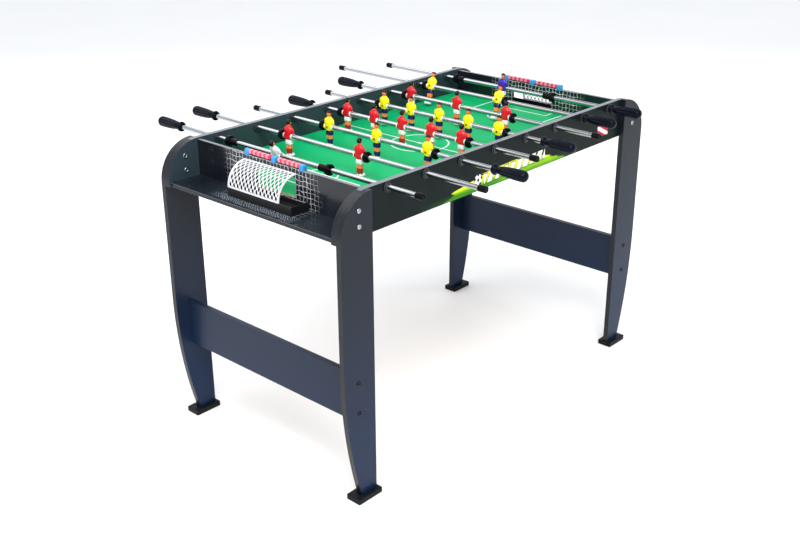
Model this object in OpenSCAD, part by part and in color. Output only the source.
// Foosball table on four board legs: eight rods with twenty-two men, goals at both ends.
// The origin is on the floor, under the middle of the outline that the rods and boards cover.
// X runs along the pitch and Y along the rods.

/* [Table] */
// Length over the legs
table_l = 1240; // [1200:1:1290]
// Width over the outer faces of the side panels
table_w = 610; // [590:1:640]
// Height of the side panels' top edge above the floor
table_h = 780; // [740:1:840]
// Height of a side panel
panel_h = 108; // [104:1:120]
// Thickness of the side panels and legs
board_t = 15; // [14:1:16]

/* [Pitch] */
// Depth of the playing surface below the side panels' top edge
pitch_depth = 73; // [72:1:76]
// Thickness of the pitch board
pitch_t = 5; // [4:1:6]
// Distance from the table's end to the end board's outer face
end_inset = 98; // [94:1:98]
// Thickness of an end board
end_t = 10; // [9:1:10]
// Width of the goal mouth
goal_w = 144; // [120:2:160]
// Height of the goal mouth above the pitch
goal_h = 46; // [40:1:50]

/* [Legs] */
// Width of a leg at its top, and radius of its rounded corner
leg_w = 100; // [96:1:104]
// Height at which the leg starts to narrow
taper_z = 360; // [340:5:400]
// Radius of the leg's long outer curve
taper_r = 1280; // [1200:10:1600]
// Height of a stretcher board
stretcher_h = 125; // [100:5:140]
// Height of a stretcher's lower edge above the floor
stretcher_z = 218; // [180:2:260]

/* [Rods] */
// Distance between neighbouring rods
rod_pitch = 130; // [128:1:130]
// Depth of the rods' axis below the side panels' top edge
rod_depth = 14; // [14:0.5:15]
// Outer radius of a rod
rod_r = 6.35; // [6:0.05:6.5]
// Length of a handle
handle_l = 98; // [90:1:105]
// Height of a man from sole to crown
man_h = 97.5; // [96:0.5:98]

/* [Hidden] */
$fn = 48;
// Clearance between neighbouring pieces, and between pieces that turn or slide on each other
gap = 0.3;
fit = 0.05;

// Each rod from left to right: men on it, side of its handle, place of its middle, tilt of its men
rods = [
    [1, 1, 62, 28], [2, 1, 36, 0], [3, -1, -26, 0], [5, 1, 5, 0],
    [5, -1, -14, 0], [3, 1, 31, 0], [2, -1, 111, -16], [1, -1, 66, 0]
];
// Half length of a rod and distance between its men, for one, two, three and five men
half_lengths = [0, 475, 520, 474, 0, 441];
man_spacings = [0, 0, 255, 173, 0, 102];
function men_on(i) = rods[i - 1][0];
function handle_side(i) = rods[i - 1][1];
function rod_middle(i) = rods[i - 1][2];
function rod_x(i) = (i - 4.5) * rod_pitch;
function tilt(i) = rods[i - 1][3];
function half_length(i) = half_lengths[men_on(i)];
function man_y(i, k) = (k - (men_on(i) - 1) / 2) * man_spacings[men_on(i)];
function team(i) = handle_side(i);

// The outline's reach on both sides sets where the table stands in the frame
far_reach = max([for (i = [1:8]) rod_middle(i) + half_length(i)]);
near_reach = max([for (i = [1:8]) half_length(i) - rod_middle(i)]);
table_y = (near_reach - far_reach) / 2;

leg_x = table_l / 2 - leg_w;
panel_z = table_h - panel_h;
inner_y = table_w / 2 - board_t;
outer_y = table_w / 2;
leg_y = outer_y + board_t;
end_x = table_l / 2 - end_inset;
end_top = table_h - 4;
pitch_z = table_h - pitch_depth;
rod_z = table_h - rod_depth;
groove = 5;

bolt_r = 3;
bolt_x = table_l / 2 - 57;
bolt_zs = [table_h - 75, table_h - 38];
nut_r = 4.5;
stretcher_x = table_l / 2 - 47;
screw_zs = [stretcher_z + 22.5, stretcher_z + 102.5];
screw_l = 60;

pad_l = 80;
pad_w = 44;
pad_h = 15;
pad_floor = 5;
pad_x = leg_x + 35;
leg_pocket = 55;

sleeve_r = 8.5;
barrel_r = 10.5;
flange_r = 13;
flange_t = 3.5;
lip_r = 9.8;
lip_t = 1.5;

rod_wall = 1.2;
cap_r = 8;
cap_l = 22;
cap_t = 3;
stop_r = 14;
man_half_w = 14;

tray_t = 10;
tray_x = table_l / 2 - 6;
box_depth = 58;
box_h = 22;
box_wall = 3;
box_y0 = -120;
box_y1 = 107;
net_r = 59;
net_y0 = -78;
net_y1 = 104;
net_rib = 2;
net_rail = 5;

block_w = 14;
block_h = 20;
bracket_half = 104;
counter_n = 10;
counter_w = 7.4;
counter_step = 7.6;
rail_r = 1.2;
rail_z = end_top + 7.5;

module on_table() translate([0, table_y, 0]) children();

// A shape lying in the XZ plane, given thickness t along +Y from y
module upright(y, t) translate([0, y + t, 0]) rotate([90, 0, 0]) linear_extrude(t) children();

// A cylinder along Y from y0 to y1 through x, z
module y_cylinder(r, y0, y1, x = 0, z = 0)
    translate([x, y1, z]) rotate([90, 0, 0]) cylinder(r = r, h = y1 - y0);

// A profile of [radius, distance] points turned about the Y axis, distances towards +Y
module y_turned(points) rotate([-90, 0, 0]) rotate_extrude() polygon(points);

// Turned half round, so that the same piece serves the other end of the table
module at_end(e) rotate([0, 0, e < 0 ? 0 : 180]) children();

module rounded_end(x_inner, z_low) {
    corner = leg_w;
    difference() {
        translate([x_inner, z_low]) square([table_l / 2 - x_inner, table_h - z_low]);
        difference() {
            translate([table_l / 2 - corner, table_h - corner]) square(corner + 1);
            translate([table_l / 2 - corner, table_h - corner]) circle(r = corner, $fn = 128);
        }
    }
}

module side_panel(side) {
    y0 = side < 0 ? -outer_y : inner_y;
    groove_y = side < 0 ? -inner_y - groove - gap : inner_y - 1;
    difference() {
        upright(y0, board_t) {
            rounded_end(0, panel_z);
            mirror([1, 0]) rounded_end(0, panel_z);
        }
        for (i = [1:8])
            y_cylinder(barrel_r + fit, -leg_y, leg_y, rod_x(i), rod_z);
        for (x = [-bolt_x, bolt_x], z = bolt_zs)
            y_cylinder(nut_r + 0.1, -leg_y, leg_y, x, z);
        translate([-end_x + 1, groove_y, pitch_z - pitch_t - gap])
            cube([2 * end_x - 2, groove + 1 + gap, pitch_t + 2 * gap]);
    }
}

module side_panel_near() color([0.07, 0.08, 0.09]) on_table() side_panel(-1);
module side_panel_far() color([0.07, 0.08, 0.09]) on_table() side_panel(1);

module end_panel() {
    inner_x = -end_x + end_t;
    difference() {
        translate([-end_x, -inner_y + gap, panel_z])
            cube([end_t, 2 * (inner_y - gap), end_top - panel_z]);
        translate([-end_x - 1, -goal_w / 2, pitch_z - pitch_t - gap])
            cube([end_t + 2, goal_w, goal_h + pitch_t + gap]);
        translate([inner_x - groove - gap, -inner_y, pitch_z - pitch_t - gap])
            cube([groove + 1 + gap, 2 * inner_y, pitch_t + 2 * gap]);
    }
}

module end_panels() color([0.06, 0.06, 0.07]) on_table() for (e = [-1, 1]) at_end(e) end_panel();

module playfield() {
    body_x = end_x - end_t + groove;
    body_y = inner_y + groove;
    color([0.1, 0.62, 0.3]) on_table() translate([0, 0, pitch_z - pitch_t]) {
        translate([-body_x, -body_y, 0]) cube([2 * body_x, 2 * body_y, pitch_t]);
        for (e = [-1, 1]) at_end(e)
            translate([-end_x + 0.5, -goal_w / 2 + gap, 0])
                cube([end_t, goal_w - 2 * gap, pitch_t]);
    }
}

module end_trays() color([0.05, 0.05, 0.06]) on_table() for (e = [-1, 1]) at_end(e)
    translate([-tray_x, -inner_y + gap, panel_z + 1])
        cube([tray_x - end_x - gap, 2 * (inner_y - gap), tray_t]);

// A leg board at +X, +Y; its outer edge curves in towards the foot
module leg_outline() {
    intersection() {
        rounded_end(leg_x, pad_floor + gap);
        union() {
            translate([table_l / 2 - taper_r, taper_z]) circle(r = taper_r, $fn = 360);
            translate([leg_x - 1, taper_z]) square([leg_w + 2, table_h]);
        }
    }
}

module leg(e, side) color([0.12, 0.13, 0.15]) on_table() difference() {
    upright(side < 0 ? -leg_y : outer_y + gap, board_t - gap)
        mirror([e < 0 ? 1 : 0, 0]) leg_outline();
    for (z = bolt_zs)
        y_cylinder(bolt_r + 0.1, -leg_y - 1, leg_y + 1, e * bolt_x, z);
    for (z = screw_zs)
        y_cylinder(bolt_r + 0.1, -leg_y - 1, leg_y + 1, e * stretcher_x, z);
}

module leg_left_near() leg(-1, -1);
module leg_left_far() leg(-1, 1);
module leg_right_near() leg(1, -1);
module leg_right_far() leg(1, 1);

module stretchers() color([0.12, 0.13, 0.16]) on_table() for (e = [-1, 1]) difference() {
    translate([e * stretcher_x - board_t / 2, -outer_y + gap, stretcher_z])
        cube([board_t, 2 * (outer_y - gap), stretcher_h]);
    for (z = screw_zs, s = [-1, 1])
        translate([0, s * outer_y, 0])
            y_cylinder(bolt_r + 0.1, -screw_l + board_t, screw_l - board_t, e * stretcher_x, z);
}

// Moulded pad with a pocket that takes the leg's end
module foot_pads() color([0.06, 0.06, 0.07]) on_table() for (e = [-1, 1], s = [-1, 1])
    translate([0, s * (outer_y + board_t / 2), 0]) mirror([e < 0 ? 1 : 0, 0, 0]) difference() {
        translate([pad_x - pad_l / 2, -pad_w / 2, 0]) cube([pad_l, pad_w, pad_h]);
        translate([leg_x - gap, -board_t / 2 - gap, pad_floor])
            cube([leg_pocket, board_t + 2 * gap, pad_h]);
    }

module leg_bolt() {
    head_t = 2.5;
    y_turned([[0, 0], [bolt_r, 0], [bolt_r, leg_y - inner_y - 6], [6, leg_y - inner_y - 6],
        [6, leg_y - inner_y - 6 + head_t], [0, leg_y - inner_y - 6 + head_t]]);
}

module sleeve_nut() difference() {
    union() {
        y_cylinder(6.5, -2 - gap, -gap);
        y_cylinder(nut_r, -gap, board_t - 2);
    }
    y_cylinder(bolt_r + fit, 1, board_t);
}

module fasteners() color([0.75, 0.76, 0.78]) on_table() for (e = [-1, 1], s = [-1, 1])
    mirror([0, s < 0 ? 1 : 0, 0]) {
        for (z = bolt_zs) translate([e * bolt_x, inner_y, z]) {
            translate([0, 6 + gap, 0]) leg_bolt();
            sleeve_nut();
        }
        for (z = screw_zs) translate([e * stretcher_x, 0, z]) {
            y_cylinder(bolt_r, leg_y - screw_l + 2, leg_y + gap);
            y_cylinder(6, leg_y + gap, leg_y + gap + 2.5);
        }
    }

// A flanged barrel pushed in from outside and a ring nut on the inner face
module bearing_housing() {
    difference() {
        union() {
            y_cylinder(flange_r, outer_y + gap, outer_y + flange_t);
            y_cylinder(barrel_r, inner_y - flange_t, outer_y + 1);
        }
        y_cylinder(sleeve_r + fit, inner_y - 10, outer_y + 10);
    }
    difference() {
        y_cylinder(flange_r, inner_y - flange_t, inner_y - gap);
        y_cylinder(barrel_r + fit, inner_y - 10, inner_y + 10);
    }
}

module bearing_housings() color([0.05, 0.05, 0.05]) on_table() for (i = [1:8], s = [0, 1])
    translate([rod_x(i), 0, rod_z]) mirror([0, s, 0]) bearing_housing();

// Snap-in sleeve with a lip on each side of its housing
module sleeve() {
    y_in = inner_y - flange_t - gap;
    y_out = outer_y + flange_t + gap;
    difference() {
        union() {
            y_cylinder(sleeve_r, y_in - lip_t, y_out + lip_t);
            y_cylinder(lip_r, y_in - lip_t, y_in);
            y_cylinder(lip_r, y_out, y_out + lip_t);
        }
        y_cylinder(rod_r + fit, y_in - 5, y_out + 5);
    }
}

module sleeves(i) color([0.13, 0.13, 0.14]) on_table()
    translate([rod_x(i), 0, rod_z]) for (s = [0, 1]) mirror([0, s, 0]) sleeve();

// Everything on a rod is drawn with its handle towards +Y and turned over for the other side
module on_rod(i) on_table() translate([rod_x(i), rod_middle(i), rod_z])
    rotate([0, 0, handle_side(i) > 0 ? 0 : 180]) children();

module rod(i) {
    l = half_length(i);
    color([0.8, 0.81, 0.83]) on_rod(i) difference() {
        y_cylinder(rod_r, -l + cap_t + fit, l - 12);
        y_cylinder(rod_r - rod_wall, -l, l);
        translate([0, -l + cap_l + 8, 0]) cylinder(r = 1.5, h = 20);
    }
}

// A handle from its ring, at the rod's inner side, to its round end
module handle(i) {
    l = half_length(i);
    color([0.04, 0.04, 0.05]) on_rod(i) translate([0, l - handle_l, 0]) difference() {
        y_turned([[0, 0], [11, 0], [13.5, 2.5], [13.5, 7.5], [11, 10], [8.5, 11.5], [8.5, 15],
            [11, 20], [12.5, 30], [13.8, 60], [14, 84], [12.6, 92], [9, 96.5], [4, handle_l],
            [0, handle_l]]);
        y_cylinder(rod_r + fit, -1, handle_l - 12 + 1);
    }
}

module bumper() difference() {
    y_turned([[0, 0], [10, 0], [10, 3], [stop_r - 1, 3], [stop_r, 4], [stop_r, 11],
        [stop_r - 1, 12], [0, 12]]);
    y_cylinder(rod_r + fit, -1, 13);
}

// The keeper's stop collar: a hub with a ring on its outer end
module stop_collar() difference() {
    y_turned([[0, 0], [9, 0], [9, 26], [stop_r - 1, 26], [stop_r, 27], [stop_r, 35],
        [stop_r - 1, 36], [0, 36]]);
    y_cylinder(rod_r + fit, -1, 37);
}

module end_cap() difference() {
    y_turned([[0, 0], [cap_r - 1, 0], [cap_r, 1], [cap_r, cap_l], [0, cap_l]]);
    y_cylinder(rod_r + fit, cap_t, cap_l + 1);
}

module stops(i) {
    reach = men_on(i) == 1 ? 150 : man_y(i, men_on(i) - 1) + man_half_w + 3;
    color([0.05, 0.05, 0.05]) on_rod(i) {
        for (s = [0, 1]) mirror([0, s, 0]) translate([0, reach, 0])
            if (men_on(i) == 1) stop_collar(); else bumper();
        translate([0, -half_length(i), 0]) end_cap();
    }
}

// A man faces +X; his shirt, shorts, legs and shoes are drawn as one moulding round the rod
module man() {
    sole = -53.5;
    crown = sole + man_h;
    head_r = 7.5;
    difference() {
        union() {
            y_cylinder(9.2, -man_half_w - 2, man_half_w + 2);
            translate([-7.5, 0, 0]) rotate([90, 0, 90]) linear_extrude(15)
                polygon([[-9, -8], [9, -8], [man_half_w, 4], [man_half_w - 0.5, 19], [8, 24],
                    [-8, 24], [-man_half_w + 0.5, 19], [-man_half_w, 4]]);
            translate([-6, 0, 0]) rotate([90, 0, 90]) linear_extrude(12)
                polygon([[-7, sole + 2], [7, sole + 2], [9.5, -8], [-9.5, -8]]);
            cylinder(r = 4.5, h = crown - head_r);
            translate([0, 0, crown - head_r]) sphere(r = head_r);
            translate([-6.5, -8, sole]) cube([19.5, 16, 8]);
        }
        y_cylinder(rod_r + fit, -40, 40);
    }
}

module men(i) {
    shirt = team(i) > 0 ? [0.8, 0.08, 0.08] : [0.95, 0.85, 0.05];
    keeper = team(i) > 0 ? [0.9, 0.9, 0.9] : [0.2, 0.15, 0.6];
    facing = team(i) > 0 ? 0 : 180;
    color(men_on(i) == 1 ? keeper : shirt) on_table()
        translate([rod_x(i), rod_middle(i), rod_z]) rotate([0, -tilt(i), 0])
            for (k = [0:men_on(i) - 1]) translate([0, man_y(i, k), 0])
                rotate([0, 0, facing]) man();
}

module ball_boxes() {
    len_y = box_y1 - box_y0;
    color([0.03, 0.03, 0.03]) on_table() for (e = [-1, 1]) at_end(e)
        translate([-end_x - gap - box_depth, box_y0, panel_z + 1 + tray_t + gap]) difference() {
            cube([box_depth, len_y, box_h]);
            translate([box_wall, box_wall, box_wall])
                cube([box_depth - 2 * box_wall, len_y - 2 * box_wall, box_h]);
            translate([box_depth - box_wall - 1, box_wall, pitch_z - pitch_t - panel_z - tray_t - 5])
                cube([box_wall + 2, len_y - 2 * box_wall, box_h]);
        }
}

// A quarter-round grid from a rail on the end board down to the ball box
module goal_net() {
    net_z = panel_z + 1 + tray_t + gap + box_h + gap;
    arcs = 13;
    bars = 7;
    translate([-end_x - gap, 0, net_z]) {
        for (k = [0:arcs - 1])
            translate([0, net_y0 + k * (net_y1 - net_y0 - net_rib) / (arcs - 1), 0])
                translate([0, net_rib, 0]) rotate([90, 0, 0]) rotate([0, 0, 90])
                    rotate_extrude(angle = 90) translate([net_r - net_rib, 0]) square(net_rib);
        for (k = [1:bars])
            rotate([0, -90 - k * 90 / (bars + 1), 0])
                translate([net_r - net_rib, net_y0, -net_rib / 2])
                    cube([net_rib, net_y1 - net_y0, net_rib]);
        translate([-net_rib, net_y0, net_r - net_rail]) cube([net_rib, net_y1 - net_y0, net_rail]);
        translate([-net_r, net_y0, 0]) cube([net_rib, net_y1 - net_y0, net_rail]);
    }
}

module goal_nets() color([0.92, 0.92, 0.92]) on_table() for (e = [-1, 1]) at_end(e) goal_net();

// Three saddle blocks clipped over the end board, joined by a strip, with a rail between them
module score_bracket() {
    mid_x = -end_x + end_t / 2;
    side_t = 1.4;
    difference() {
        union() {
            for (y = [-bracket_half + block_w / 2, 0, bracket_half - block_w / 2])
                translate([mid_x - end_t / 2 - side_t, y - block_w / 2, end_top + 13 - block_h])
                    cube([end_t + 2 * side_t, block_w, block_h]);
            translate([mid_x - 4, -bracket_half, end_top + gap]) cube([8, 2 * bracket_half, 2]);
            y_cylinder(rail_r, -bracket_half + 2, bracket_half - 2, mid_x, rail_z);
        }
        translate([mid_x - end_t / 2 - gap, -bracket_half - 1, end_top - block_h])
            cube([end_t + 2 * gap, 2 * bracket_half + 2, block_h + gap]);
    }
}

module score_brackets() color([0.1, 0.4, 0.8]) on_table() for (e = [-1, 1]) at_end(e)
    score_bracket();

// One side's counters, pushed together against the outer block
module counters(e, side) {
    mid_x = -end_x + end_t / 2;
    last_y = bracket_half - block_w - 0.2 - counter_w;
    color([0.85, 0.12, 0.2]) on_table() at_end(e) mirror([0, side < 0 ? 1 : 0, 0])
        for (k = [0:counter_n - 1]) difference() {
            translate([mid_x - 4.5, last_y - k * counter_step, rail_z - 4.5])
                cube([9, counter_w, 9]);
            y_cylinder(rail_r + fit, 0, bracket_half, mid_x, rail_z);
        }
}

side_panel_near();
side_panel_far();
end_panels();
playfield();
end_trays();
leg_left_near();
leg_left_far();
leg_right_near();
leg_right_far();
stretchers();
foot_pads();
fasteners();
bearing_housings();
goal_nets();
ball_boxes();
score_brackets();
counters(-1, -1);  // counters_1
counters(-1, 1);  // counters_2
counters(1, -1);  // counters_3
counters(1, 1);  // counters_4
sleeves(1);  // sleeves_1
sleeves(2);  // sleeves_2
sleeves(3);  // sleeves_3
sleeves(4);  // sleeves_4
sleeves(5);  // sleeves_5
sleeves(6);  // sleeves_6
sleeves(7);  // sleeves_7
sleeves(8);  // sleeves_8
rod(1);  // rod_1
rod(2);  // rod_2
rod(3);  // rod_3
rod(4);  // rod_4
rod(5);  // rod_5
rod(6);  // rod_6
rod(7);  // rod_7
rod(8);  // rod_8
men(1);  // men_1
men(2);  // men_2
men(3);  // men_3
men(4);  // men_4
men(5);  // men_5
men(6);  // men_6
men(7);  // men_7
men(8);  // men_8
stops(1);  // stops_1
stops(2);  // stops_2
stops(3);  // stops_3
stops(4);  // stops_4
stops(5);  // stops_5
stops(6);  // stops_6
stops(7);  // stops_7
stops(8);  // stops_8
handle(1);  // handle_1
handle(2);  // handle_2
handle(3);  // handle_3
handle(4);  // handle_4
handle(5);  // handle_5
handle(6);  // handle_6
handle(7);  // handle_7
handle(8);  // handle_8
